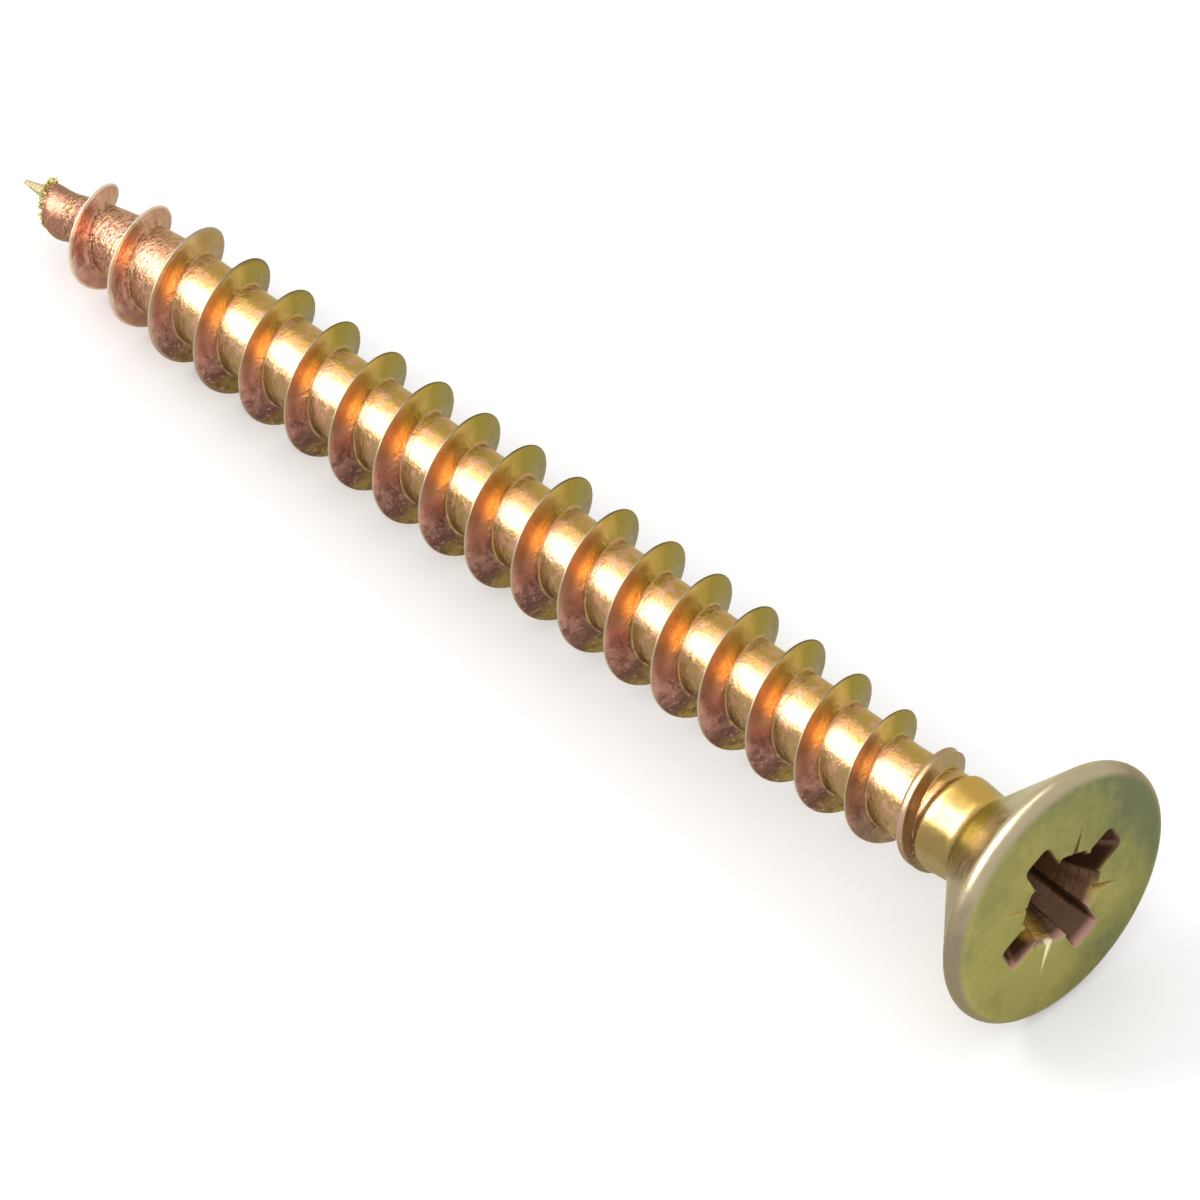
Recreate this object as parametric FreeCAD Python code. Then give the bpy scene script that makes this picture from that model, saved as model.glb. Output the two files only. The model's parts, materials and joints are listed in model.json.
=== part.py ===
"""Countersunk multi-purpose screw, 4 x 40 mm, with a coarse full-length thread and a type Z recess.

It is one solid. It is drawn along the X axis with its head face at x = 0 and its point at
x = -length, and then laid down: the rim of the head and the thread near the point touch z = 0.
Angles about the axis are seen from the head face, anticlockwise from +Y, with 90 degrees on top.
"""
import FreeCAD, Part
import math
import os

# Whole screw
length = 40.3
head_d = 8.0
crest_d = 3.96
core_d = 2.40
pitch = 1.80

# Countersunk head, with its rim rounded in short steps over the face and down to the cone
head_half_angle = 46.0
rim_r = 0.38
face_rim_steps = 3
cone_rim_steps = 2

# Plain neck below the head
neck_d = 2.92
neck_len = 0.95
neck_fillet_r = 0.50
shoulder_len = 0.15

# Thread ridge: its flanks meet in a sharp crest, and it rises from the neck over run_in_len
flank_angle = 23.0
root_sink = 0.20
thread_end_angle = 33.0
first_height = 0.46
run_in_len = 10.0
fade_len = 0.55
buried_height = 0.8
points_per_turn = 8

# Height of the thread near the point, as a share of its full height, at distances back from its end
point_heights = (
    (0.00, 0.19), (0.81, 0.54), (1.76, 0.73), (2.66, 0.86), (3.56, 0.67), (4.46, 0.80),
    (4.80, 0.78), (5.36, 0.88), (11.5, 0.85), (15.0, 1.00),
)

# Point: the core follows a long arc, in short cones, and ends in a thin needle that is bent aside
taper_len = 6.10
taper_end_d = 0.33
taper_steps = 5
needle_len = 0.75
needle_root = 0.20
needle_tip_r = 0.06
needle_bend = 0.09
needle_bend_angle = 213.0

# Type Z recess
recess_angle = 22.0
wing_span = 4.6
wing_width = 0.95
wing_floor_span = 1.9
wing_floor_width = 0.80
wing_depth = 2.30
centre_span = 2.8
centre_width = 1.15
centre_floor_span = 1.1
centre_floor_width = 0.6
pilot_r = 0.55
pilot_tip_r = 0.12
pilot_depth = 2.75
tick_reach = 2.1125
tick_width = 0.32
tick_depth = 0.50
mouth = 0.30

head_r = head_d / 2
neck_r = neck_d / 2
crest_r = crest_d / 2
core_r = core_d / 2
full_height = crest_r - core_r
needle_start = length - needle_len
taper_start = needle_start - taper_len


def axial(distance, radius):
    """Point of the half section, at a distance from the head face and a radius from the axis."""
    return FreeCAD.Vector(-distance, 0, radius)


def around(distance, radius, angle):
    """Point at an angle about the axis, in degrees."""
    turn = math.radians(angle)
    return FreeCAD.Vector(-distance, radius * math.cos(turn), radius * math.sin(turn))


def neck_span():
    """Where the cone meets the neck's fillet, where the neck starts and where it ends."""
    half = math.radians(head_half_angle)
    cone_start = rim_r * (1 + math.sin(half))
    cone_r = head_r - rim_r * (1 - math.cos(half))
    corner = cone_start + (cone_r - neck_r) / math.tan(half)
    tangent = neck_fillet_r * math.tan(half / 2)
    neck_start = corner + tangent
    return corner, tangent, neck_start, neck_start + neck_len


def taper_stations():
    """(distance, radius) where the cones of the point meet, on an arc that leaves the core smoothly."""
    narrowing = core_r - taper_end_d / 2
    arc_r = (taper_len ** 2 + narrowing ** 2) / (2 * narrowing)
    stations = []
    for step in range(taper_steps + 1):
        past = taper_len * step / taper_steps
        stations.append((taper_start + past, core_r - arc_r + math.sqrt(arc_r ** 2 - past ** 2)))
    return stations


def between(stations, distance):
    """Straight-line reading of a list of (distance, value) stations."""
    for (near, low), (far, high) in zip(stations, stations[1:]):
        if distance <= far:
            return low + (high - low) * (distance - near) / (far - near)
    return stations[-1][1]


def core_radius(distance):
    """Radius of the core at a distance from the head face."""
    return between([(0, core_r)] + taper_stations(), distance)


def turned_body():
    """Head, neck, core and tapered point, turned about the axis."""
    half = math.radians(head_half_angle)
    corner, tangent, neck_start, neck_end = neck_span()
    swings = [-math.pi / 2 * (1 - step / face_rim_steps) for step in range(face_rim_steps)]
    swings += [half * step / cone_rim_steps for step in range(cone_rim_steps + 1)]
    outline = [axial(0, 0)]
    for swing in swings:
        outline.append(axial(rim_r * (1 + math.sin(swing)), head_r - rim_r * (1 - math.cos(swing))))
    outline.append(axial(corner - tangent * math.cos(half), neck_r + tangent * math.sin(half)))
    fillet_mid = axial(neck_start - neck_fillet_r * math.sin(half / 2),
                       neck_r + neck_fillet_r * (1 - math.cos(half / 2)))
    neck_top = axial(neck_start, neck_r)
    lower = [neck_top, axial(neck_end, neck_r), axial(neck_end + shoulder_len, core_r)]
    lower += [axial(distance, radius) for distance, radius in taper_stations()]
    lower += [axial(needle_start, 0), axial(0, 0)]
    fillet = Part.Arc(outline[-1], fillet_mid, neck_top).toShape()
    edges = Part.makePolygon(outline).Edges + [fillet] + Part.makePolygon(lower).Edges
    section = Part.Face(Part.Wire(edges))
    return section.revolve(FreeCAD.Vector(0, 0, 0), FreeCAD.Vector(1, 0, 0), 360)


def closed_solid(faces):
    """Solid inside a set of faces that meet edge to edge."""
    shell = Part.makeShell(faces)
    shell.sewShape()
    solid = Part.Solid(shell)
    if solid.Volume < 0:
        solid.reverse()
    return solid


def needle():
    """Thin bent needle with a blunt end, rooted in the tapered point."""
    root = needle_start - needle_root
    reach = around(length, needle_bend, needle_bend_angle).sub(axial(root, 0))
    return Part.makeCone(core_radius(root), needle_tip_r, reach.Length, axial(root, 0), reach)


def thread_height(distance):
    """Height of the crest above the core: it fades on to the neck and drops towards the point."""
    into = distance - neck_span()[3]
    if into < 0:
        buried = buried_height * (neck_r - core_r)
        return buried + (first_height * full_height - buried) * (1 + into / fade_len)
    left = max(0.0, 1 - into / run_in_len)
    risen = 1 - (1 - first_height) * left ** 3
    return full_height * min(risen, between(point_heights, needle_start - distance))


def ridge_section(distance):
    """Corners of the ridge, as (offset towards the head, radius): two sunk feet and the crest."""
    core = core_radius(distance)
    crest = core + thread_height(distance)
    sunk = core - min(root_sink, core / 2)
    foot = (crest - sunk) * math.tan(math.radians(flank_angle))
    return [(-foot, sunk), (0, crest), (foot, sunk)]


def thread_ridge():
    """Right-hand helical ridge: a spline runs along each corner, with ruled faces between them."""
    first = neck_span()[3] - fade_len
    turns = (needle_start - first) / pitch
    pieces = math.ceil(turns)
    steps = pieces * points_per_turn
    knots = [turns * step / steps for step in range(steps + 1)]
    rails = [[], [], []]
    for turn in knots:
        distance = needle_start - pitch * turn
        for rail, (offset, radius) in zip(rails, ridge_section(distance)):
            rail.append(around(distance - offset, radius, thread_end_angle + 360 * turn))
    splines = []
    for rail in rails:
        spline = Part.BSplineCurve()
        spline.interpolate(Points=rail, Parameters=knots)
        splines.append(spline)
    faces = []
    for piece in range(pieces):
        edges = []
        for spline in splines:
            stretch = spline.copy()
            stretch.segment(turns * piece / pieces, turns * (piece + 1) / pieces)
            edges.append(stretch.toShape())
        for index, edge in enumerate(edges):
            faces.append(Part.makeRuledSurface(edge, edges[index - 1], 1))
    for end in (0, -1):
        corners = [rail[end] for rail in rails]
        faces.append(Part.Face(Part.makePolygon(corners + corners[:1])))
    return closed_solid(faces)


def slot(span, width, floor_span, floor_width, depth, angle):
    """Slot through the axis that narrows with its depth and rises a little above the head face."""
    wires = []
    for level in (-mouth, depth):
        share = level / depth
        half_span = (span + (floor_span - span) * share) / 2
        half_width = (width + (floor_width - width) * share) / 2
        corners = [(half_span, half_width), (-half_span, half_width),
                   (-half_span, -half_width), (half_span, -half_width)]
        points = [FreeCAD.Vector(-level, across, up) for across, up in corners]
        wires.append(Part.makePolygon(points + points[:1]))
    solid = Part.makeLoft(wires, True, True)
    solid.rotate(FreeCAD.Vector(0, 0, 0), FreeCAD.Vector(1, 0, 0), angle)
    return solid


def tick(angle):
    """Shallow wedge groove that runs from the recess to a point on the head face."""
    rise = mouth / tick_depth
    half = tick_width / 2 * (1 + rise)
    reach = tick_reach * (1 + rise)
    above = [FreeCAD.Vector(mouth, 0, half), FreeCAD.Vector(mouth, reach, 0),
             FreeCAD.Vector(mouth, 0, -half)]
    below = FreeCAD.Vector(-tick_depth, 0, 0)
    faces = [Part.Face(Part.makePolygon(above + above[:1]))]
    for first, second in zip(above, above[1:] + above[:1]):
        faces.append(Part.Face(Part.makePolygon([first, second, below, first])))
    solid = closed_solid(faces)
    solid.rotate(FreeCAD.Vector(0, 0, 0), FreeCAD.Vector(1, 0, 0), angle)
    return solid


def recess():
    """Type Z cross recess: four wings, a smaller cross between them, a pilot cone and four ticks."""
    pilot = Part.makeCone(pilot_r, pilot_tip_r, pilot_depth, FreeCAD.Vector(0, 0, 0),
                          FreeCAD.Vector(-1, 0, 0))
    cutters = []
    for quarter in (0, 90):
        wing_angle = recess_angle + quarter
        cutters.append(slot(wing_span, wing_width, wing_floor_span, wing_floor_width,
                            wing_depth, wing_angle))
        cutters.append(slot(centre_span, centre_width, centre_floor_span, centre_floor_width,
                            wing_depth, wing_angle + 45))
    for quarter in range(4):
        cutters.append(tick(recess_angle + 45 + 90 * quarter))
    return pilot.fuse(cutters)


def rest_tilt():
    """Tilt at which the first crest comes down to what the rim of the head stands on."""
    neck_end = neck_span()[3]
    lowest = needle_start - pitch * ((270 - thread_end_angle) / 360)
    tilts = []
    while lowest > neck_end:
        crest = core_radius(lowest) + thread_height(lowest)
        along = lowest - rim_r
        drop = head_r - rim_r - crest
        tilts.append(math.atan2(drop, along) + math.asin(rim_r / math.hypot(drop, along)))
        lowest -= pitch
    return math.degrees(min(tilts))


def laid_down(solid):
    """Tilts the screw on to its rim and thread, and centres it over the origin on z = 0."""
    solid.rotate(FreeCAD.Vector(0, 0, 0), FreeCAD.Vector(0, -1, 0), rest_tilt())
    box = solid.optimalBoundingBox(False)
    solid.translate(FreeCAD.Vector(-box.Center.x, -box.Center.y, -box.ZMin))
    return solid


screw = turned_body().fuse([needle(), thread_ridge()]).cut(recess())
if screw.ShapeType == "Compound" and len(screw.Solids) == 1:
    screw = screw.Solids[0]
screw = laid_down(screw)

os.makedirs("parts", exist_ok=True)
screw.exportStep("parts/screw.step")
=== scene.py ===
"""Dresses the countersunk multi-purpose screw: its rolled thread, its pressed recess and its yellow zinc.

The screw is modelled in millimetres along its own axis and then placed in the frame. In its own
frame the head face is at x = 0 and the point is at x = -length. Distances along the screw are
measured back from the head face. Angles about the axis are seen from the head, anticlockwise from
+Y, with 90 degrees on top.
"""
import bmesh
import bpy
import json
import math
from mathutils import Matrix, Vector, noise


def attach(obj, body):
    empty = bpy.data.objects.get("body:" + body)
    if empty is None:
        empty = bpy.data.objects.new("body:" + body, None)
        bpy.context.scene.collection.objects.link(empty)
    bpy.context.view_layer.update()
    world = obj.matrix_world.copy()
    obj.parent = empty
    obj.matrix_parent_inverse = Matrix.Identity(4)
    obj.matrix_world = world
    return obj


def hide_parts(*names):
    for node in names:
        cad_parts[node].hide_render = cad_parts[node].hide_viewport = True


# Camera, fitted to the photograph
FRAME_PX = 1200
FOCAL_PX = 18650.4
HEAD_FACE_PX = (1062.55, 899.11)
HEAD_FACE_DEPTH = 497.74
CAMERA_ELEVATION = 48.51
CAMERA_AZIMUTH = -44.66
SENSOR_WIDTH = 36.0

# Light
LAMP_DISTANCE = 0.6
WORLD_LIGHT = 0.92
FLOOR_COLOUR = (0.93, 0.93, 0.93, 1)
FLOOR_LIFT = 0.19
KEY_DIRECTION = (-0.564, -0.466, 0.681)

# Whole screw
LENGTH = 40.3
HEAD_R = 4.0
CREST_R = 1.98
CORE_R = 1.20
PITCH = 1.80

# Head and neck
HEAD_HALF_ANGLE = math.radians(46.0)
RIM_R = 0.38
NECK_R = 1.42
NECK_STATIONS = (
    (0.0, 1.36), (3.20, 1.36), (3.42, 1.385), (4.00, 1.44), (4.18, 1.44), (4.32, 1.30), (4.9, 1.27), (6.2, 1.20),
)
NECK_EASE = 0.07
NECK_START = 3.206
NECK_END = 4.156
NECK_JOIN = 3.35
JOIN_GAP = 0.03
NECK_FILLET_R = 0.50
FINE_UNTIL = 4.9
FINE_FROM = 38.4
HEAD_STEPS = 192

# Thread
FLANK_ANGLE = math.radians(20.0)
CREST_ROUND = 0.035
ROOT_ROUND = 0.06
THREAD_END_ANGLE = 33.0
FIRST_HEIGHT = 0.46
RUN_IN_LEN = 10.0
FADE_LEN = 0.55
BURIED_HEIGHT = 0.8
LIP_WIDTH = 0.20
LIP_GROOVE = 0.10
LIP_UNTIL = (5.2, 6.6)
STEPS_PER_TURN = 80
POINT_HEIGHTS = (
    (0.00, 0.19), (0.45, 0.32), (0.81, 0.54), (1.76, 0.73), (2.66, 0.86), (3.56, 0.67), (4.46, 0.80),
    (4.80, 0.78), (5.36, 0.88), (11.5, 0.85), (15.0, 1.00),
)

# Point, whose thread ends in a blunt hump with a ragged burr
HUMP_TURNS = (0.45, 0.95)
HUMP_BACK_WIDTH = 1.0
HUMP_FRONT_WIDTH = (0.20, 1.30)
BURR_DRIFT = 0.62
BURR_HALF_WIDTH = 0.22
BURR_SIZE = 0.14
NEEDLE_LEN = 0.75
TAPER_LEN = 6.10
TAPER_END_R = 0.165
NEEDLE_ROOT = 0.20
NEEDLE_TIP_R = 0.06
NEEDLE_BEND = 0.09
NEEDLE_BEND_ANGLE = math.radians(213.0)

# Recess
RECESS_ANGLE = 22.0
WING_SPAN = 4.6
WING_WIDTH = 0.95
WING_FLOOR_SPAN = 1.9
WING_FLOOR_WIDTH = 0.80
WING_DEPTH = 2.30
CENTRE_SPAN = 2.8
CENTRE_WIDTH = 1.15
CENTRE_FLOOR_SPAN = 1.1
CENTRE_FLOOR_WIDTH = 0.6
PILOT_R = 0.55
PILOT_TIP_R = 0.12
PILOT_DEPTH = 2.75
TICK_REACH = 2.55
TICK_WIDTH = 0.58
TICK_DEPTH = 0.36
MOUTH = 0.30
MOUTH_ROUND = 0.10
TICK_ROUND = 0.012
WING_ROUND = 0.20

FULL_HEIGHT = CREST_R - CORE_R
NEEDLE_START = LENGTH - NEEDLE_LEN
TAPER_START = NEEDLE_START - TAPER_LEN
HALF_PITCH = PITCH / 2
SHARP_EDGE = math.radians(35)
X_AXIS = Vector((1, 0, 0))
MM = 0.001


def smooth(value, low, high):
    """0 below low and 1 above high, with a smooth rise between them."""
    share = min(1.0, max(0.0, (value - low) / (high - low)))
    return share * share * (3 - 2 * share)


def between(stations, distance):
    """Straight-line reading of a list of (distance, value) stations."""
    for (near, low), (far, high) in zip(stations, stations[1:]):
        if distance <= far:
            return low + (high - low) * (distance - near) / (far - near)
    return stations[-1][1]


def taper_radius(distance):
    """Radius of the core where it follows the long arc of the point."""
    narrowing = CORE_R - TAPER_END_R
    arc_r = (TAPER_LEN ** 2 + narrowing ** 2) / (2 * narrowing)
    past = max(0.0, distance - TAPER_START)
    return CORE_R - arc_r + math.sqrt(arc_r ** 2 - past ** 2)


def core_radius(distance):
    """Radius of the neck, core, tapered point or needle, without the thread."""
    if distance < NECK_STATIONS[-1][0]:
        nearby = (distance - NECK_EASE, distance, distance, distance + NECK_EASE)
        return sum(between(NECK_STATIONS, place) for place in nearby) / 4
    return bare_radius(distance)


def bare_radius(distance):
    """Radius that the thread stands on: the core, which runs on under the neck, and the point."""
    root = NEEDLE_START - NEEDLE_ROOT
    if distance < root:
        return taper_radius(distance)
    start = taper_radius(root)
    return start + (NEEDLE_TIP_R - start) * (distance - root) / (LENGTH - root)


def thread_height(distance):
    """Height of the crest above the core: it fades on to the neck and drops towards the point."""
    into = distance - NECK_END
    if into < 0:
        buried = BURIED_HEIGHT * (NECK_R - CORE_R)
        return max(0.0, buried + (FIRST_HEIGHT * FULL_HEIGHT - buried) * (1 + into / FADE_LEN))
    left = max(0.0, 1 - into / RUN_IN_LEN)
    risen = 1 - (1 - FIRST_HEIGHT) * left ** 3
    return FULL_HEIGHT * min(risen, between(POINT_HEIGHTS, NEEDLE_START - distance))


def arc(centre_x, centre_y, radius, start, end, steps):
    """Points along an arc, from one angle in degrees to another."""
    turns = [math.radians(start + (end - start) * step / steps) for step in range(steps + 1)]
    return [(centre_x + radius * math.cos(turn), centre_y + radius * math.sin(turn)) for turn in turns]


def groove_profile():
    """One pitch of the thread as (offset towards the head, height): core, root, flank, crest and back."""
    lean = math.degrees(FLANK_ANGLE)
    crest_y = FULL_HEIGHT - CREST_ROUND
    flank_x = CREST_ROUND * math.cos(FLANK_ANGLE)
    flank_y = crest_y + CREST_ROUND * math.sin(FLANK_ANGLE)
    root_x = flank_x + (ROOT_ROUND - (ROOT_ROUND - flank_y) * math.sin(FLANK_ANGLE)) / math.cos(FLANK_ANGLE)
    crest = arc(0, crest_y, CREST_ROUND, 90, lean, 4)
    root = arc(root_x, ROOT_ROUND, ROOT_ROUND, 180 + lean, 270, 4)
    flank = []
    for share in (0.25, 0.5, 0.75):
        flank.append(tuple(a + (b - a) * share for a, b in zip(crest[-1], root[0])))
    land = [(root_x + (HALF_PITCH - root_x) * share, 0.0) for share in (0.25, 0.5, 0.75, 1.0)]
    side = crest + flank + root + land
    return [(-x, y) for x, y in reversed(side[1:])] + side


def thread_mesh():
    """The neck, threaded core and needle: one spun turn, repeated along the screw and drawn to size."""
    turns = math.ceil((NEEDLE_START - NECK_JOIN) / PITCH) + 3
    first = -NEEDLE_START - 1.5 * PITCH
    start_angle = math.radians(THREAD_END_ANGLE) - 3 * math.pi
    bm = bmesh.new()
    row = []
    for offset, height in groove_profile():
        radius = CORE_R + height
        row.append(bm.verts.new((first + offset, radius * math.cos(start_angle), radius * math.sin(start_angle))))
    edges = [bm.edges.new(pair) for pair in zip(row, row[1:])]
    bmesh.ops.spin(bm, geom=row + edges, cent=(0, 0, 0), axis=X_AXIS, dvec=X_AXIS * (PITCH / STEPS_PER_TURN),
                   angle=2 * math.pi, steps=STEPS_PER_TURN, use_merge=False)
    one_turn = bm.verts[:] + bm.edges[:] + bm.faces[:]
    for turn in range(1, turns):
        copied = bmesh.ops.duplicate(bm, geom=one_turn)["geom"]
        moved = [part for part in copied if isinstance(part, bmesh.types.BMVert)]
        bmesh.ops.translate(bm, verts=moved, vec=X_AXIS * (PITCH * turn))
    bmesh.ops.remove_doubles(bm, verts=bm.verts, dist=0.002)
    for near, far in ((0, FINE_UNTIL), (FINE_FROM, LENGTH + PITCH)):
        fine = [edge for edge in bm.edges if all(near < -vert.co.x < far for vert in edge.verts)]
        bmesh.ops.subdivide_edges(bm, edges=fine, cuts=2, use_grid_fill=True)
    marks = [bm.verts.layers.float.new(name) for name in ("ridge", "burr")]
    for vert in bm.verts:
        shape_vertex(vert, marks)
    return bm


def first_turn_lips(crest_distance, offset, share):
    """Widens the crest of the first turn towards the head, with a groove between its two lips."""
    wide = 1 - smooth(crest_distance, *LIP_UNTIL)
    shift = LIP_WIDTH * wide * smooth(offset, -CREST_ROUND, CREST_ROUND) * (1 - smooth(offset, 0.3, 0.8))
    groove = LIP_GROOVE * wide * max(0.0, 1 - (offset / CREST_ROUND) ** 2)
    return shift, share * (1 - groove)


def blunt_end(turns_back, offset, share, spread):
    """Turns the last half turn of the ridge into a wide hump that stops short at the needle."""
    blunt = 1 - smooth(turns_back, *HUMP_TURNS)
    least, growth = HUMP_FRONT_WIDTH
    width = HUMP_BACK_WIDTH if offset > 0 else min(HUMP_BACK_WIDTH, least + growth * max(0.0, turns_back))
    hump = math.cos(min(1.0, abs(offset) / width) * math.pi / 2) ** 2
    return share + (hump - share) * blunt, spread + (1 - spread) * blunt


def burr_share(turns_back, offset):
    """How much of the ragged burr there is: it runs along the end of the ridge, on the needle's side."""
    along = smooth(turns_back, -0.06, 0.0) * (1 - smooth(turns_back, 0.48, 0.60))
    return along * (1 - smooth(abs(offset + BURR_DRIFT * turns_back), 0.3 * BURR_HALF_WIDTH, BURR_HALF_WIDTH))


def shape_vertex(vert, marks):
    """Draws a vertex of the plain helix in or out to the screw's own radius, and marks where it is on the ridge."""
    x, y, z = vert.co
    radius = math.hypot(y, z)
    angle = math.degrees(math.atan2(z, y))
    turn = (x + NEEDLE_START) / PITCH - (angle - THREAD_END_ANGLE) / 360
    offset = (turn - round(turn)) * PITCH
    crest_distance = -(x - offset)
    share = (radius - CORE_R) / FULL_HEIGHT
    turns_back = (NEEDLE_START - crest_distance) / PITCH
    height = thread_height(crest_distance) * smooth(turns_back, 0.0, 0.05)
    narrow = height / FULL_HEIGHT
    spread = narrow + (1 - narrow) * (offset / HALF_PITCH) ** 2
    share, spread = blunt_end(turns_back, offset, share, spread)
    shift, share = first_turn_lips(crest_distance, offset, share)
    distance = crest_distance - offset * spread - shift
    drawn = max(core_radius(distance), bare_radius(distance) + share * height)
    burr = burr_share(turns_back, offset)
    if burr > 0:
        coarse, fine = noise.noise(vert.co * 7.0), noise.noise(vert.co * 19.0)
        drawn += burr * BURR_SIZE * (0.5 + coarse + 0.8 * fine)
        distance += burr * BURR_SIZE * noise.noise(vert.co * 13.0)
    vert[marks[0]] = share * smooth(narrow, 0.0, 0.2)
    vert[marks[1]] = burr
    vert.co = (-distance, y * drawn / radius, z * drawn / radius)


def cut_to_length(bm):
    """Cuts the neck where the head joins and the needle at its end, and rounds that end."""
    for x, side in ((-NECK_JOIN - JOIN_GAP, 1), (-LENGTH, -1)):
        bmesh.ops.bisect_plane(bm, geom=bm.verts[:] + bm.edges[:] + bm.faces[:], dist=0.0005, plane_co=(x, 0, 0),
                               plane_no=(side, 0, 0), clear_outer=True)
    tip = [edge for edge in bm.edges if edge.is_boundary and edge.verts[0].co.x < -LENGTH + 0.01]
    bmesh.ops.holes_fill(bm, edges=tip, sides=0)


def bend_needle(bm):
    """Bends the needle aside, from its root to its end."""
    root = NEEDLE_START - NEEDLE_ROOT
    aside = Vector((0, math.cos(NEEDLE_BEND_ANGLE), math.sin(NEEDLE_BEND_ANGLE)))
    for vert in bm.verts:
        past = (-vert.co.x - root) / (LENGTH - root)
        if past > 0:
            vert.co += aside * (NEEDLE_BEND * past)


def head_outline():
    """Half section of the head, as (distance, radius), from the face to the joint on the neck."""
    rim = [(RIM_R + y, HEAD_R - RIM_R + x) for x, y in arc(0, 0, RIM_R, -90, math.degrees(HEAD_HALF_ANGLE), 16)]
    cone_x, cone_r = rim[-1]
    fillet_deg = math.degrees(HEAD_HALF_ANGLE)
    fillet = [(NECK_START + y, core_radius(NECK_START) + NECK_FILLET_R - x)
              for x, y in arc(0, 0, NECK_FILLET_R, -fillet_deg, 0, 8)]
    cone = []
    for share in (0.2, 0.4, 0.6, 0.8):
        cone.append((cone_x + (fillet[0][0] - cone_x) * share, cone_r + (fillet[0][1] - cone_r) * share))
    return [(0.0, 0.0)] + rim + cone + fillet + [(NECK_JOIN, core_radius(NECK_JOIN))]


def head_mesh():
    """The countersunk head, turned about its axis and closed at the neck so that the recess can be cut."""
    bm = bmesh.new()
    row = [bm.verts.new((-distance, 0, radius)) for distance, radius in head_outline()]
    edges = [bm.edges.new(pair) for pair in zip(row, row[1:])]
    bmesh.ops.spin(bm, geom=row + edges, cent=(0, 0, 0), axis=X_AXIS, angle=2 * math.pi, steps=HEAD_STEPS,
                   use_merge=True)
    bmesh.ops.remove_doubles(bm, verts=bm.verts, dist=0.0005)
    face = [f for f in bm.faces if all(abs(v.co.x) < 0.0001 for v in f.verts)]
    bmesh.ops.dissolve_faces(bm, faces=face, use_verts=False)
    bmesh.ops.holes_fill(bm, edges=[edge for edge in bm.edges if edge.is_boundary], sides=0)
    bmesh.ops.recalc_face_normals(bm, faces=bm.faces)
    return bm


def slot(bm, span, width, floor_span, floor_width, angle):
    """Slot that narrows with its depth and rises a little above the head face."""
    cube = bmesh.ops.create_cube(bm, size=1)["verts"]
    for vert in cube:
        level = WING_DEPTH if vert.co.x < 0 else -MOUTH
        share = level / WING_DEPTH
        vert.co = (-level, vert.co.y * (span + (floor_span - span) * share),
                   vert.co.z * (width + (floor_width - width) * share))
    upright = [edge for edge in bm.edges if abs(edge.verts[0].co.x - edge.verts[1].co.x) > MOUTH]
    rounded = bmesh.ops.bevel(bm, geom=upright, offset=WING_ROUND, offset_type="OFFSET", segments=4, profile=0.5,
                              affect="EDGES", material=-1)
    cube = bm.verts[:]
    bmesh.ops.rotate(bm, verts=cube, cent=(0, 0, 0), matrix=Matrix.Rotation(math.radians(angle), 3, "X"))


def tick(bm, angle):
    """Shallow wedge groove that runs from the recess to a point on the head face."""
    rise = MOUTH / TICK_DEPTH
    half = TICK_WIDTH / 2 * (1 + rise)
    reach = TICK_REACH * (1 + rise)
    corners = [(MOUTH, 0, half), (MOUTH, reach, 0), (MOUTH, 0, -half), (-TICK_DEPTH, 0, 0)]
    verts = [bm.verts.new(corner) for corner in corners]
    for index in range(4):
        bm.faces.new([vert for vert in verts if vert is not verts[index]])
    bmesh.ops.rotate(bm, verts=verts, cent=(0, 0, 0), matrix=Matrix.Rotation(math.radians(angle), 3, "X"))


def pilot(bm):
    """Tapered hole in the middle of the recess."""
    cone = bmesh.ops.create_cone(bm, cap_ends=True, segments=48, radius1=PILOT_TIP_R, radius2=PILOT_R,
                                 depth=PILOT_DEPTH)["verts"]
    bmesh.ops.rotate(bm, verts=cone, cent=(0, 0, 0), matrix=Matrix.Rotation(math.pi / 2, 3, "Y"))
    bmesh.ops.translate(bm, verts=cone, vec=(-PILOT_DEPTH / 2, 0, 0))


def new_cutters(shapes):
    """Objects for the shapes pressed into the head face, each given as its function and sizes."""
    made = []
    for make, *sizes in shapes:
        bm = bmesh.new()
        make(bm, *sizes)
        bmesh.ops.recalc_face_normals(bm, faces=bm.faces)
        made.append(new_object(f"cutter_{len(made)}", bm))
    return made


def new_object(name, bm):
    """An object made of a bmesh, which is freed."""
    mesh = bpy.data.meshes.new(name)
    bm.to_mesh(mesh)
    bm.free()
    obj = bpy.data.objects.new(name, mesh)
    bpy.context.collection.objects.link(obj)
    return obj


def press(bm, shapes, rounding):
    """Cuts shapes out of the head and rounds the edges that this leaves, as a new bmesh."""
    head = new_object("head_blank", bm)
    tools = new_cutters(shapes)
    for tool in tools:
        cut = head.modifiers.new(tool.name, "BOOLEAN")
        cut.object = tool
        cut.operation = "DIFFERENCE"
        cut.solver = "EXACT"
    evaluated = head.evaluated_get(bpy.context.evaluated_depsgraph_get())
    result = bmesh.new()
    result.from_mesh(evaluated.to_mesh())
    for obj in [head] + tools:
        bpy.data.objects.remove(obj)
    bmesh.ops.remove_doubles(result, verts=result.verts, dist=0.0005)
    mouth = [e for e in result.edges if e.calc_face_angle(0) > SHARP_EDGE and all(abs(v.co.x) < 0.001 for v in e.verts)]
    bmesh.ops.bevel(result, geom=mouth, offset=rounding, offset_type="OFFSET", segments=3, profile=0.5,
                    affect="EDGES", clamp_overlap=False, material=-1)
    bmesh.ops.remove_doubles(result, verts=result.verts, dist=0.0005)
    bmesh.ops.dissolve_degenerate(result, edges=result.edges, dist=0.0005)
    return result


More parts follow.
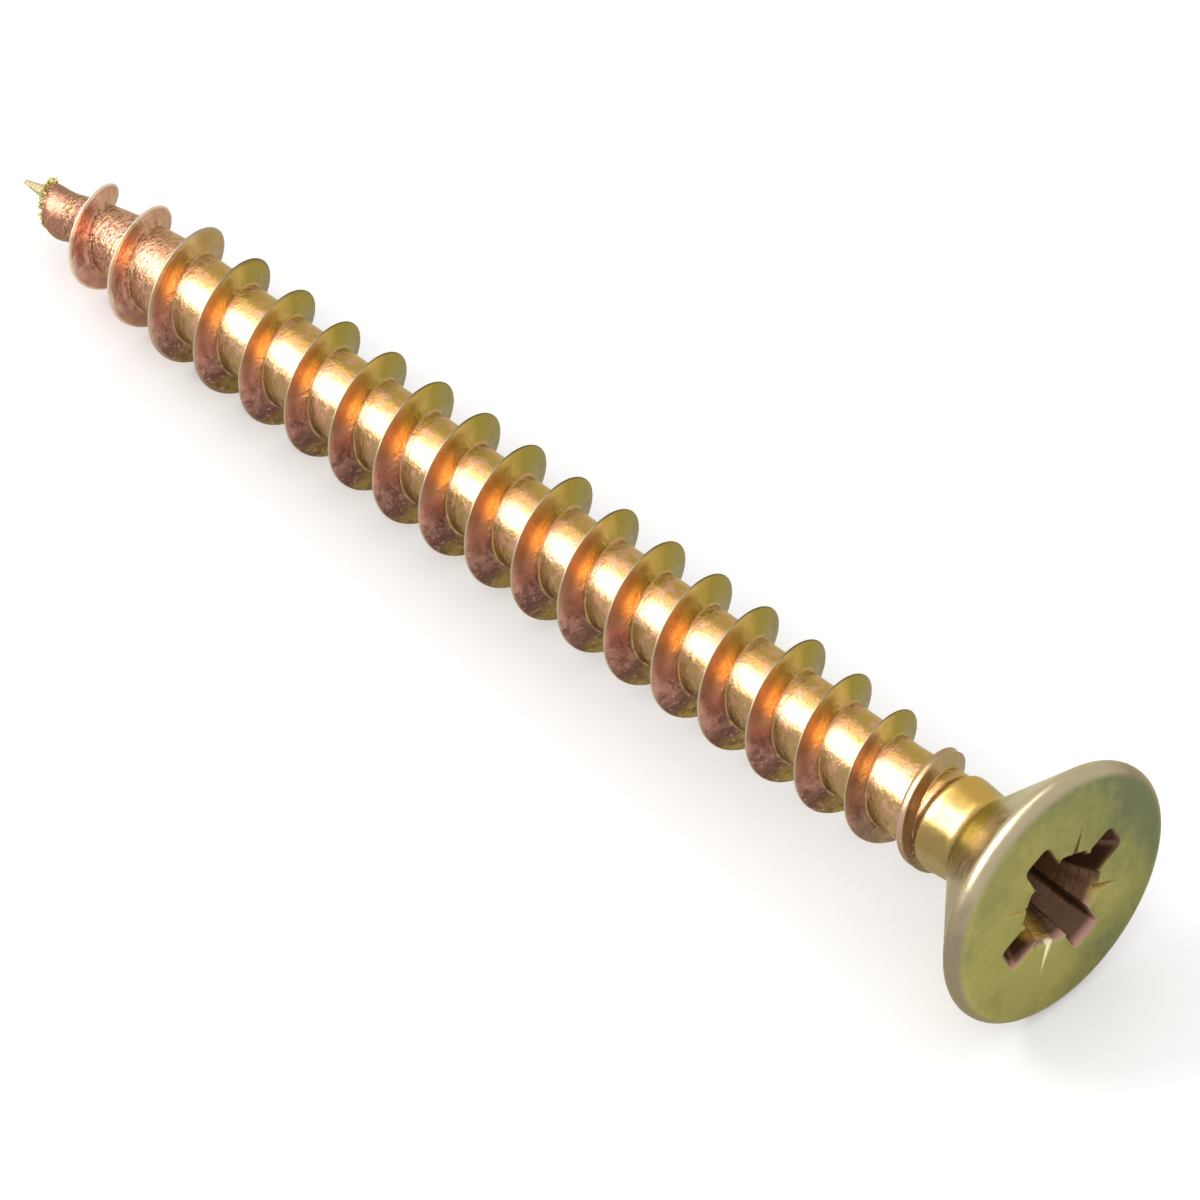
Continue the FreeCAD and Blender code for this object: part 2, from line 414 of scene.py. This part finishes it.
def cut_recess(bm):
    """The head with its wings, smaller cross and pilot pressed in, then its four ticks."""
    wings = [(pilot,)]
    for quarter in (0, 90):
        angle = RECESS_ANGLE + quarter
        wings.append((slot, WING_SPAN, WING_WIDTH, WING_FLOOR_SPAN, WING_FLOOR_WIDTH, angle))
        wings.append((slot, CENTRE_SPAN, CENTRE_WIDTH, CENTRE_FLOOR_SPAN, CENTRE_FLOOR_WIDTH, angle + 45))
    ticks = [(tick, RECESS_ANGLE + 45 + 90 * quarter) for quarter in range(4)]
    result = press(press(bm, wings, MOUTH_ROUND), ticks, TICK_ROUND)
    cap = [f for f in result.faces if all(v.co.x < -NECK_JOIN + 0.001 for v in f.verts)]
    bmesh.ops.delete(result, geom=cap, context="FACES")
    return result


def screw_mesh():
    """The whole screw in its own frame, as one closed mesh."""
    bm = thread_mesh()
    cut_to_length(bm)
    bend_needle(bm)
    head = cut_recess(head_mesh())
    mesh = bpy.data.meshes.new("head")
    head.to_mesh(mesh)
    head.free()
    bm.from_mesh(mesh)
    bpy.data.meshes.remove(mesh)
    rim = [edge for edge in bm.edges if edge.is_boundary]
    bmesh.ops.bridge_loops(bm, edges=rim)
    bmesh.ops.recalc_face_normals(bm, faces=bm.faces)
    return bm


def screw_place(record):
    """Matrix from the screw's own frame in millimetres to the part's frame in metres."""
    mount = next(m for m in record["mounts"] if m["name"] == "drive_recess")
    axis = Vector(mount["axis"]).normalized()
    side = Vector((0, 1, 0))
    turn = Matrix((axis, side, axis.cross(side))).transposed().to_4x4()
    return Matrix.Translation(mount["pos_m"]) @ turn @ Matrix.Scale(MM, 4)


class Nodes:
    """Short ways to add the nodes that a material needs."""

    def __init__(self, material):
        material.use_nodes = True
        self.tree = material.node_tree
        self.shader = self.tree.nodes["Principled BSDF"]

    def add(self, kind, inputs=(), **settings):
        """A node with its settings, and with values or links on its named or numbered inputs."""
        node = self.tree.nodes.new(kind)
        for name, value in settings.items():
            setattr(node, name, value)
        for name, value in dict(inputs).items():
            if isinstance(value, bpy.types.NodeSocket):
                self.tree.links.new(value, node.inputs[name])
            else:
                node.inputs[name].default_value = value
        return node

    def link(self, value, name):
        """Links a value to the shader."""
        self.tree.links.new(value, self.shader.inputs[name])

    def maths(self, operation, first, second=0.0):
        """Sum, product or other step on two values."""
        return self.add("ShaderNodeMath", {0: first, 1: second}, operation=operation).outputs[0]

    def rise(self, value, low, high):
        """0 at low and 1 at high, with a smooth rise between them, or a fall if low is above high."""
        start, end = (low, high) if low < high else (high, low)
        marks = (0.0, 1.0) if low < high else (1.0, 0.0)
        inputs = {"Value": value, "From Min": start, "From Max": end, "To Min": marks[0], "To Max": marks[1]}
        return self.add("ShaderNodeMapRange", inputs, interpolation_type="SMOOTHSTEP").outputs[0]

    def blend(self, share, first, second, kind="MIX"):
        """The first colour where the share is 0 and the second where it is 1."""
        node = self.add("ShaderNodeMix", data_type="RGBA", blend_type=kind)
        for socket, value in zip((node.inputs[0], node.inputs[6], node.inputs[7]), (share, first, second)):
            if isinstance(value, bpy.types.NodeSocket):
                self.tree.links.new(value, socket)
            else:
                socket.default_value = value if isinstance(value, float) else (*value, 1.0)
        return node.outputs[2]

    def bands(self, value, stops):
        """Colours that follow each other along a value, from (place, colour) stops."""
        node = self.add("ShaderNodeValToRGB", {0: value})
        ramp = node.color_ramp.elements
        while len(ramp) < len(stops):
            ramp.new(1.0)
        for element, (where, colour) in zip(ramp, stops):
            element.position = where
            element.color = (*colour, 1.0)
        return node.outputs[0]

    def grain(self, place, scale, detail=3.0, rough=0.55, distortion=0.0):
        """Noise between about 0.2 and 0.8."""
        inputs = {"Vector": place, "Scale": scale, "Detail": detail, "Roughness": rough, "Distortion": distortion}
        return self.add("ShaderNodeTexNoise", inputs).outputs[0]


# Colours of the zinc, as linear values. Some are painted light: highlights, glints, reflections and shade set by the
# side each surface faces.
FACE_OLIVE = (0.255, 0.250, 0.085)
FACE_GREEN = (0.140, 0.155, 0.085)
FACE_YELLOW = (0.37, 0.33, 0.105)
# Painted highlight and shade: the rim is beige on the side towards the lamps and grey on the shaded side.
RIM_HIGHLIGHT_BEIGE = (0.44, 0.365, 0.23)
RIM_SHADE_GREY = (0.25, 0.20, 0.13)
CONE_OLIVE = (0.27, 0.25, 0.050)
CONE_BEIGE = (0.41, 0.34, 0.19)
NECK_YELLOW = (0.48, 0.30, 0.070)
# Painted shade and highlight: olive darkens the neck away from the lamps, pale whitens its highlight.
NECK_SHADE_OLIVE = (0.26, 0.18, 0.060)
NECK_HIGHLIGHT_PALE = (0.50, 0.345, 0.155)
NECK_BEIGE = (0.35, 0.27, 0.12)
LIP_GREY = (0.36, 0.25, 0.165)
GREY_OLIVE = (0.22, 0.165, 0.065)
OLIVE = (0.26, 0.21, 0.055)
GOLD = (0.29, 0.210, 0.032)
# Painted reflection: the amber and orange bands put the core's highlight, as mirrored in the head-side flanks, into
# their colour.
AMBER_REFLECTION = (0.59, 0.37, 0.10)
ORANGE_REFLECTION = (0.75, 0.41, 0.16)
PINK_GOLD = (0.64, 0.43, 0.30)
ROSE = (0.58, 0.29, 0.21)
# Painted shade: plum darkens the underside of the thread.
PLUM_SHADE = (0.13, 0.062, 0.048)
# Painted shade: umber darkens the outer flank beside the painted orange reflection.
UMBER_SHADE = (0.25, 0.12, 0.085)
OLIVE_BROWN = (0.31, 0.22, 0.055)
KHAKI = (0.30, 0.225, 0.085)
CORE_GOLD = (0.40, 0.25, 0.060)
# Painted highlight: peach and pale tint the core where the key lamp's highlight falls; painted shade: brown darkens the
# core below it.
CORE_HIGHLIGHT_PEACH = (0.50, 0.245, 0.095)
CORE_HIGHLIGHT_PALE = (0.58, 0.39, 0.23)
CORE_OLIVE = (0.39, 0.275, 0.10)
CORE_SHADE_BROWN = (0.33, 0.21, 0.085)
PINK = (0.62, 0.31, 0.24)
TIP_RED = (0.49, 0.235, 0.18)
# Painted highlight: the pale lips of the thread near the point.
TIP_LIP_HIGHLIGHT = (0.82, 0.68, 0.54)
STUB_ROSE = (0.30, 0.14, 0.095)
TIP_GOLD = (0.52, 0.38, 0.15)
TIP_BROWN = (0.13, 0.065, 0.040)
NEEDLE_BEIGE = (0.46, 0.38, 0.20)
BURR_YELLOW = (0.74, 0.64, 0.36)
# Painted highlight and shade: the crest line is silver on the side towards the lamps and dark olive elsewhere.
CREST_HIGHLIGHT_SILVER = (0.40, 0.33, 0.21)
CREST_SHADE_OLIVE = (0.13, 0.10, 0.045)
# Painted shade: dark brown inside the recess.
RECESS_SHADE_BROWN = (0.112, 0.056, 0.030)
RECESS_AMBER = (0.64, 0.41, 0.085)
RECESS_MAUVE = (0.44, 0.25, 0.20)
RECESS_GOLD = (0.40, 0.27, 0.070)
# Painted highlight: a glint on the recess walls.
TICK_GLINT = (0.90, 0.80, 0.48)
GRAZING_OLIVE = (0.78, 0.73, 0.56)

# Colours round the axis, at shares of a turn from +Y. They paint light and shade by side: highlights and reflections on
# the side towards the lamps, shade on the underside.
FLANK_BANDS = (
    (0.0, GREY_OLIVE), (0.08, OLIVE), (0.17, GOLD), (0.25, AMBER_REFLECTION), (0.31, ORANGE_REFLECTION), (0.37, ORANGE_REFLECTION), (0.42, PINK_GOLD),
    (0.465, ROSE), (0.585, PLUM_SHADE), (0.66, OLIVE_BROWN), (0.80, KHAKI), (1.0, GREY_OLIVE),
)
# The core's bands paint its highlight pale and peach and the shade below it brown.
CORE_BANDS = (
    (0.0, CORE_OLIVE), (0.14, CORE_GOLD), (0.23, CORE_GOLD), (0.29, CORE_HIGHLIGHT_PEACH), (0.35, CORE_HIGHLIGHT_PALE),
    (0.40, CORE_SHADE_BROWN), (0.46, CORE_SHADE_BROWN), (0.52, CORE_OLIVE), (1.0, CORE_OLIVE),
)
# The neck's bands paint its highlight pale and its shaded sides olive.
NECK_BANDS = (
    (0.0, NECK_SHADE_OLIVE), (0.11, NECK_BEIGE), (0.17, NECK_YELLOW), (0.25, NECK_YELLOW), (0.31, NECK_HIGHLIGHT_PALE),
    (0.362, NECK_HIGHLIGHT_PALE),
    (0.39, NECK_SHADE_OLIVE), (0.46, NECK_SHADE_OLIVE), (0.52, NECK_BEIGE), (1.0, NECK_SHADE_OLIVE),
)
# Cone colours: olive on the side where the fillet mirrors the key lamp, a painted reflection colour over the cone's own
# beige.
CONE_BANDS = ((0.0, CONE_BEIGE), (0.20, CONE_OLIVE), (0.34, CONE_OLIVE), (0.42, CONE_BEIGE), (1.0, CONE_BEIGE))
# Painted highlight and shade along the crest, by side.
CREST_BANDS = (
    (0.0, CREST_SHADE_OLIVE), (0.20, CREST_SHADE_OLIVE), (0.30, CREST_HIGHLIGHT_SILVER), (0.58, CREST_HIGHLIGHT_SILVER), (0.70, CREST_SHADE_OLIVE),
    (1.0, CREST_SHADE_OLIVE),
)
# Painted highlight and shade on the rim: beige towards the lamps, grey elsewhere.
RIM_BANDS = (
    (0.0, RIM_SHADE_GREY), (0.11, RIM_SHADE_GREY), (0.18, RIM_HIGHLIGHT_BEIGE), (0.38, RIM_HIGHLIGHT_BEIGE), (0.45, RIM_SHADE_GREY), (1.0, RIM_SHADE_GREY),
)
# Round the recess mouth: the pale band near 0.68 of a turn and the gold near 0.92 are painted glints, and the dark
# brown is painted shade.
RECESS_BANDS = (
    (0.0, RECESS_SHADE_BROWN), (0.22, RECESS_SHADE_BROWN), (0.32, RECESS_GOLD), (0.50, RECESS_GOLD), (0.58, RECESS_MAUVE),
    (0.665, RECESS_MAUVE), (0.672, TICK_GLINT), (0.70, TICK_GLINT), (0.707, RECESS_MAUVE), (0.86, RECESS_MAUVE),
    (0.92, RECESS_GOLD), (0.97, RECESS_SHADE_BROWN), (1.0, RECESS_SHADE_BROWN),
)


def own_place(nodes, place):
    """The screw's own frame in millimetres, from the object's coordinates."""
    where, turn, scale = place.decompose()
    coordinates = nodes.add("ShaderNodeTexCoord").outputs["Object"]
    inputs = {"Vector": coordinates, "Location": where, "Rotation": turn.to_euler(), "Scale": scale}
    return nodes.add("ShaderNodeMapping", inputs, vector_type="TEXTURE").outputs[0]


def yellow_zinc(place):
    """Yellow passivated zinc over rolled steel: olive on the head, gold and pink on the thread, with painted
    highlights, reflections and shade laid in by the side each surface faces.
    """
    material = bpy.data.materials.new("yellow_zinc")
    nodes = Nodes(material)
    own = own_place(nodes, place)
    x, y, z = nodes.add("ShaderNodeSeparateXYZ", {0: own}).outputs
    distance = nodes.maths("MULTIPLY", x, -1.0)
    radius = nodes.add("ShaderNodeVectorMath", {0: nodes.add("ShaderNodeCombineXYZ", {1: y, 2: z}).outputs[0]},
                       operation="LENGTH").outputs["Value"]
    ridge = nodes.add("ShaderNodeAttribute", attribute_name="ridge").outputs["Fac"]
    burr = nodes.add("ShaderNodeAttribute", attribute_name="burr").outputs["Fac"]

    drift = nodes.grain(own, 0.45, 2.0)
    mottle = nodes.grain(own, 3.2, 4.0, 0.6)
    fleck = nodes.grain(own, 8.0, 3.0, 0.55)
    rolled_y = nodes.maths("MULTIPLY", nodes.maths("DIVIDE", y, radius), 2.6)
    rolled_z = nodes.maths("MULTIPLY", nodes.maths("DIVIDE", z, radius), 2.6)
    rolled_place = nodes.add("ShaderNodeCombineXYZ", {0: nodes.maths("MULTIPLY", x, 6.0), 1: rolled_y, 2: rolled_z})
    rolled = nodes.grain(rolled_place.outputs[0], 1.0, 4.0, 0.6)
    crinkle = nodes.grain(rolled_place.outputs[0], 2.0, 3.0, 0.6)

    turn = nodes.maths("DIVIDE", nodes.maths("ARCTAN2", z, y), 2 * math.pi)
    sway = nodes.maths("MULTIPLY", nodes.maths("SUBTRACT", nodes.grain(own, 0.9, 2.0), 0.5), 0.10)
    around = nodes.maths("FRACT", nodes.maths("ADD", nodes.maths("ADD", turn, sway), 1.0))
    flank = nodes.bands(around, FLANK_BANDS)
    core = nodes.bands(around, CORE_BANDS)
    core = nodes.blend(nodes.maths("MULTIPLY", nodes.rise(mottle, 0.48, 0.64), 0.5), core, PINK)
    thread = nodes.blend(nodes.rise(ridge, 0.03, 0.12), core, flank)
    # Painted shade: mottled plum patches darken the underside of the thread.
    low = nodes.maths("MULTIPLY", nodes.rise(around, 0.44, 0.53), nodes.rise(around, 0.80, 0.68))
    underside_shade_patch = nodes.maths("MULTIPLY", nodes.maths("MULTIPLY", nodes.rise(mottle, 0.46, 0.60), low), 0.7)
    thread = nodes.blend(underside_shade_patch, thread, PLUM_SHADE)
    # Pink flecks on the underside: partly mottled coat, partly painted sparkle.
    speck = nodes.maths("MULTIPLY", nodes.maths("MULTIPLY", nodes.rise(fleck, 0.57, 0.64), low), 0.45)
    thread = nodes.blend(speck, thread, PINK)
    # Painted reflection and shade: across the arc where the flank mirrors the core's highlight, the part towards the
    # crest is painted darker umber.
    glow = nodes.maths("MULTIPLY", nodes.rise(around, 0.25, 0.33), nodes.rise(around, 0.48, 0.39))
    outer_shade = nodes.maths("MULTIPLY", nodes.maths("MULTIPLY", nodes.rise(ridge, 0.15, 0.75), glow), 0.72)
    thread = nodes.blend(outer_shade, thread, UMBER_SHADE)
    first_lips = nodes.maths("MULTIPLY", nodes.rise(distance, 6.9, 5.6), 0.65)
    thread = nodes.blend(nodes.maths("MULTIPLY", first_lips, nodes.rise(ridge, 0.1, 0.3)), thread, LIP_GREY)
    at_tip = nodes.maths("MULTIPLY", nodes.rise(distance, 32.3, 36.5), 0.85)
    # Painted highlight: pale streaks along the lips near the point, on the side towards the lamps.
    along_ridge = nodes.add("ShaderNodeCombineXYZ", {0: nodes.maths("MULTIPLY", ridge, 7.0), 1: y, 2: z}).outputs[0]
    streak = nodes.grain(along_ridge, 1.0, 3.0, 0.6)
    lip_highlight = nodes.rise(nodes.maths("ADD", ridge, nodes.maths("MULTIPLY", nodes.maths("SUBTRACT", streak, 0.5), 1.6)),
                     0.60, 0.92)
    lip_highlight_arc = nodes.maths("MULTIPLY", nodes.rise(around, 0.19, 0.29), nodes.rise(around, 0.62, 0.46))
    lip_highlight = nodes.maths("MULTIPLY", lip_highlight, lip_highlight_arc)
    thread = nodes.blend(at_tip, thread, nodes.blend(lip_highlight, TIP_RED, TIP_LIP_HIGHLIGHT))
    thread = nodes.blend(nodes.rise(distance, 37.5, 38.1), thread, STUB_ROSE)
    # Gold and dark brown flecks on the core near the point: partly mottled coat, partly painted glints and painted
    # shade in the pits.
    tip_core = nodes.maths("MULTIPLY", at_tip, nodes.maths("MAXIMUM", nodes.rise(ridge, 0.40, 0.10), 0.25))
    bright = nodes.maths("MULTIPLY", nodes.maths("MULTIPLY", nodes.rise(crinkle, 0.52, 0.60), tip_core), 0.9)
    thread = nodes.blend(bright, thread, TIP_GOLD)
    dull = nodes.maths("MULTIPLY", nodes.maths("MULTIPLY", nodes.rise(crinkle, 0.46, 0.38), tip_core), 0.8)
    thread = nodes.blend(dull, thread, TIP_BROWN)
    # The crest line: painted highlight and shade by side, and pale painted highlight on the lips near the point.
    crest_line = nodes.maths("MULTIPLY", nodes.rise(ridge, 0.84, 0.94), nodes.rise(distance, 27.0, 35.0))
    crest_line = nodes.maths("MAXIMUM", nodes.maths("MULTIPLY", crest_line, 0.8), nodes.rise(ridge, 0.95, 0.99))
    crest_line = nodes.maths("MULTIPLY", crest_line, nodes.rise(distance, 38.2, 37.5))
    crest = nodes.blend(at_tip, nodes.bands(around, CREST_BANDS), TIP_LIP_HIGHLIGHT)
    thread = nodes.blend(crest_line, thread, crest)
    thread = nodes.blend(nodes.rise(distance, 39.3, 39.7), thread, NEEDLE_BEIGE)
    thread = nodes.blend(nodes.rise(burr, 0.15, 0.6), thread, BURR_YELLOW)

    neck = nodes.blend(nodes.rise(distance, 4.35, 4.0), thread, nodes.bands(around, NECK_BANDS))
    cone = nodes.blend(nodes.rise(distance, 3.1, 2.6), neck, nodes.bands(around, CONE_BANDS))
    rim = nodes.blend(nodes.rise(distance, 2.2, 1.3), cone, nodes.bands(around, RIM_BANDS))
    across = nodes.maths("ADD", nodes.maths("MULTIPLY", y, 0.10), nodes.maths("MULTIPLY", z, 0.06))
    across = nodes.maths("ADD", across, nodes.maths("MULTIPLY", nodes.maths("SUBTRACT", drift, 0.5), 1.3))
    across = nodes.maths("SUBTRACT", across, nodes.maths("MULTIPLY", nodes.rise(radius, 3.6, 2.2), 0.30))
    across = nodes.maths("ADD", across, nodes.maths("MULTIPLY", nodes.maths("SUBTRACT", mottle, 0.5), 0.6))
    olive = nodes.blend(nodes.rise(across, -0.55, 0.0), FACE_YELLOW, FACE_OLIVE)
    olive = nodes.blend(nodes.rise(across, -0.15, 0.50), olive, FACE_GREEN)
    on_face = nodes.maths("MULTIPLY", nodes.rise(distance, 0.16, 0.03), nodes.rise(radius, 3.95, 3.7))
    head = nodes.blend(on_face, rim, olive)
    reach = nodes.maths("ADD", nodes.maths("MULTIPLY", distance, 0.6), radius)
    inside = nodes.maths("MULTIPLY", nodes.rise(distance, 0.01, 0.05), nodes.rise(reach, 2.75, 2.55))
    own_turn = nodes.maths("FRACT", nodes.maths("ADD", turn, 1.0))
    mouth = nodes.bands(own_turn, RECESS_BANDS)
    amber = nodes.maths("MULTIPLY", nodes.rise(own_turn, 0.36, 0.46), nodes.rise(own_turn, 0.73, 0.64))
    amber = nodes.maths("MULTIPLY", amber, nodes.rise(radius, 1.6, 1.35))
    # Painted shade: the deep walls of the recess are dark brown, with amber on one side.
    deep_shade_and_amber = nodes.blend(amber, RECESS_SHADE_BROWN, RECESS_AMBER)
    pressed = nodes.blend(nodes.rise(distance, 0.08, 0.32), mouth, deep_shade_and_amber)
    colour = nodes.blend(inside, head, pressed)
    nodes.link(colour, "Base Color")
    nodes.link(nodes.maths("SUBTRACT", 1.0, nodes.maths("MULTIPLY", inside, 0.40)), "Metallic")

    rough = nodes.add("ShaderNodeMapRange", {"Value": mottle, "From Min": 0.3, "From Max": 0.7, "To Min": 0.24,
                                             "To Max": 0.40}).outputs[0]
    nodes.link(rough, "Roughness")

    worked = nodes.maths("MULTIPLY", nodes.rise(distance, 3.6, 5.0), nodes.rise(ridge, 0.6, 0.1))
    worked = nodes.maths("MAXIMUM", worked, low)
    worked = nodes.maths("MAXIMUM", worked, inside)
    pits = nodes.maths("ADD", nodes.maths("MULTIPLY", fleck, 0.4), nodes.maths("MULTIPLY", rolled, 0.6))
    depth = nodes.maths("MULTIPLY", pits, nodes.maths("ADD", nodes.maths("MULTIPLY", worked, 0.9), 0.1))
    depth = nodes.maths("ADD", depth, nodes.maths("MULTIPLY", nodes.maths("MULTIPLY", crinkle, tip_core), 1.8))
    bump = nodes.add("ShaderNodeBump", {"Height": depth, "Strength": 0.5, "Distance": 0.00007})
    nodes.link(bump.outputs[0], "Normal")

    shader = nodes.shader
    shader.inputs["Specular Tint"].default_value = (*GRAZING_OLIVE, 1.0)
    shader.inputs["Coat Weight"].default_value = 0.05
    shader.inputs["Coat Roughness"].default_value = 0.12
    return material


def build_screw(place):
    """The dressed screw, in place of its plain solid."""
    bm = screw_mesh()
    bm.transform(place)
    for face in bm.faces:
        face.smooth = True
    screw = new_object("multi_purpose_screw", bm)
    screw.data.set_sharp_from_angle(angle=math.radians(40))
    screw.data.materials.append(yellow_zinc(place))
    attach(screw, "root")
    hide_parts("screw")


def seen_share(tree):
    """1 for rays from the camera and from gloss or glass, which see the surroundings as white, and 0 for others."""
    rays = tree.nodes.new("ShaderNodeLightPath").outputs
    share = rays["Is Camera Ray"]
    for name in ("Is Glossy Ray", "Is Transmission Ray"):
        most = tree.nodes.new("ShaderNodeMath")
        most.operation = "MAXIMUM"
        tree.links.new(share, most.inputs[0])
        tree.links.new(rays[name], most.inputs[1])
        share = most.outputs[0]
    return share


def seen_strength(tree, unseen, seen):
    """Strength with one value for the rays of seen_share and another for the rest."""
    strength = tree.nodes.new("ShaderNodeMapRange")
    strength.inputs["To Min"].default_value = unseen
    strength.inputs["To Max"].default_value = seen
    tree.links.new(seen_share(tree), strength.inputs["Value"])
    return strength.outputs[0]


def build_floor():
    """Plain pale floor, which the camera and the metal see a little paler than it is."""
    bm = bmesh.new()
    bmesh.ops.create_grid(bm, x_segments=1, y_segments=1, size=2)
    floor = new_object("floor", bm)
    material = bpy.data.materials.new("floor")
    material.use_nodes = True
    tree = material.node_tree
    shader = tree.nodes["Principled BSDF"]
    shader.inputs["Base Color"].default_value = FLOOR_COLOUR
    shader.inputs["Roughness"].default_value = 0.9
    shader.inputs["Specular IOR Level"].default_value = 0.0
    shader.inputs["Emission Color"].default_value = (1, 1, 1, 1)
    tree.links.new(seen_strength(tree, 0.0, FLOOR_LIFT), shader.inputs["Emission Strength"])
    floor.data.materials.append(material)


def build_world():
    """Pale surroundings that light the part evenly. The camera and the metal see them as white."""
    world = bpy.data.worlds.new("studio")
    world.use_nodes = True
    tree = world.node_tree
    background = tree.nodes["Background"]
    background.inputs["Color"].default_value = (1, 1, 1, 1)
    tree.links.new(seen_strength(tree, WORLD_LIGHT, 1.0), background.inputs["Strength"])
    bpy.context.scene.world = world


def softbox(name, direction, size, radiance, lights_floor=False):
    """Rectangular lamp that faces the screw, with its long side round the screw's axis."""
    light = bpy.data.lights.new(name, "AREA")
    light.shape = "RECTANGLE"
    light.size, light.size_y = size
    light.energy = radiance * math.pi * size[0] * size[1]
    lamp = bpy.data.objects.new(name, light)
    towards = Vector(direction).normalized()
    across = Vector((-1, 0, 0)).cross(towards).normalized()
    turn = Matrix((across, towards.cross(across), towards)).transposed().to_4x4()
    lamp.matrix_world = Matrix.Translation(towards * LAMP_DISTANCE) @ turn
    lamp.visible_diffuse = lights_floor
    bpy.context.collection.objects.link(lamp)


def build_lights():
    """Soft studio lamps towards the point of the screw: a key on the camera's side and reflectors round it."""
    softbox("key", KEY_DIRECTION, (0.16, 0.16), 9.0, lights_floor=True)
    softbox("key_glow", KEY_DIRECTION, (0.53, 0.36), 8.5)
    softbox("high_glow", (-0.573, 0.15, 0.806), (0.40, 0.22), 2.5)


def build_camera(record):
    """Camera at the photograph's viewing angle, which sees the head face at its place in the picture."""
    azimuth, elevation = math.radians(CAMERA_AZIMUTH), math.radians(CAMERA_ELEVATION)
    back = Vector((math.cos(azimuth) * math.cos(elevation), math.sin(azimuth) * math.cos(elevation),
                   math.sin(elevation)))
    turn = back.to_track_quat("Z", "Y").to_matrix()
    shift = [(pixel - FRAME_PX / 2) / FOCAL_PX * HEAD_FACE_DEPTH for pixel in HEAD_FACE_PX]
    seen = Vector((shift[0], -shift[1], -HEAD_FACE_DEPTH)) * MM
    mount = next(m for m in record["mounts"] if m["name"] == "drive_recess")
    lens = bpy.data.cameras.new("camera")
    lens.sensor_width = SENSOR_WIDTH
    lens.lens = FOCAL_PX / FRAME_PX * SENSOR_WIDTH
    lens.clip_end = 10
    camera = bpy.data.objects.new("camera", lens)
    camera.location = Vector(mount["pos_m"]) - turn @ seen
    camera.rotation_euler = turn.to_euler()
    bpy.context.collection.objects.link(camera)
    bpy.context.scene.camera = camera


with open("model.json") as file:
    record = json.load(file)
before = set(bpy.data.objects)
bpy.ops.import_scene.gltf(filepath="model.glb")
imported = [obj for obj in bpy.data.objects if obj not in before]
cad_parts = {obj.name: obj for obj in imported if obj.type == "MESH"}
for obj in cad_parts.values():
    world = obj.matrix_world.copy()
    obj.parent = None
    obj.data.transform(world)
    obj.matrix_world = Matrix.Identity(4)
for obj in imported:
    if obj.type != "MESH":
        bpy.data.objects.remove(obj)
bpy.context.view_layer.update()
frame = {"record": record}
build_screw(screw_place(frame["record"]))
build_floor()
build_world()
build_lights()
build_camera(frame["record"])
bpy.context.scene.view_settings.view_transform = "Standard"
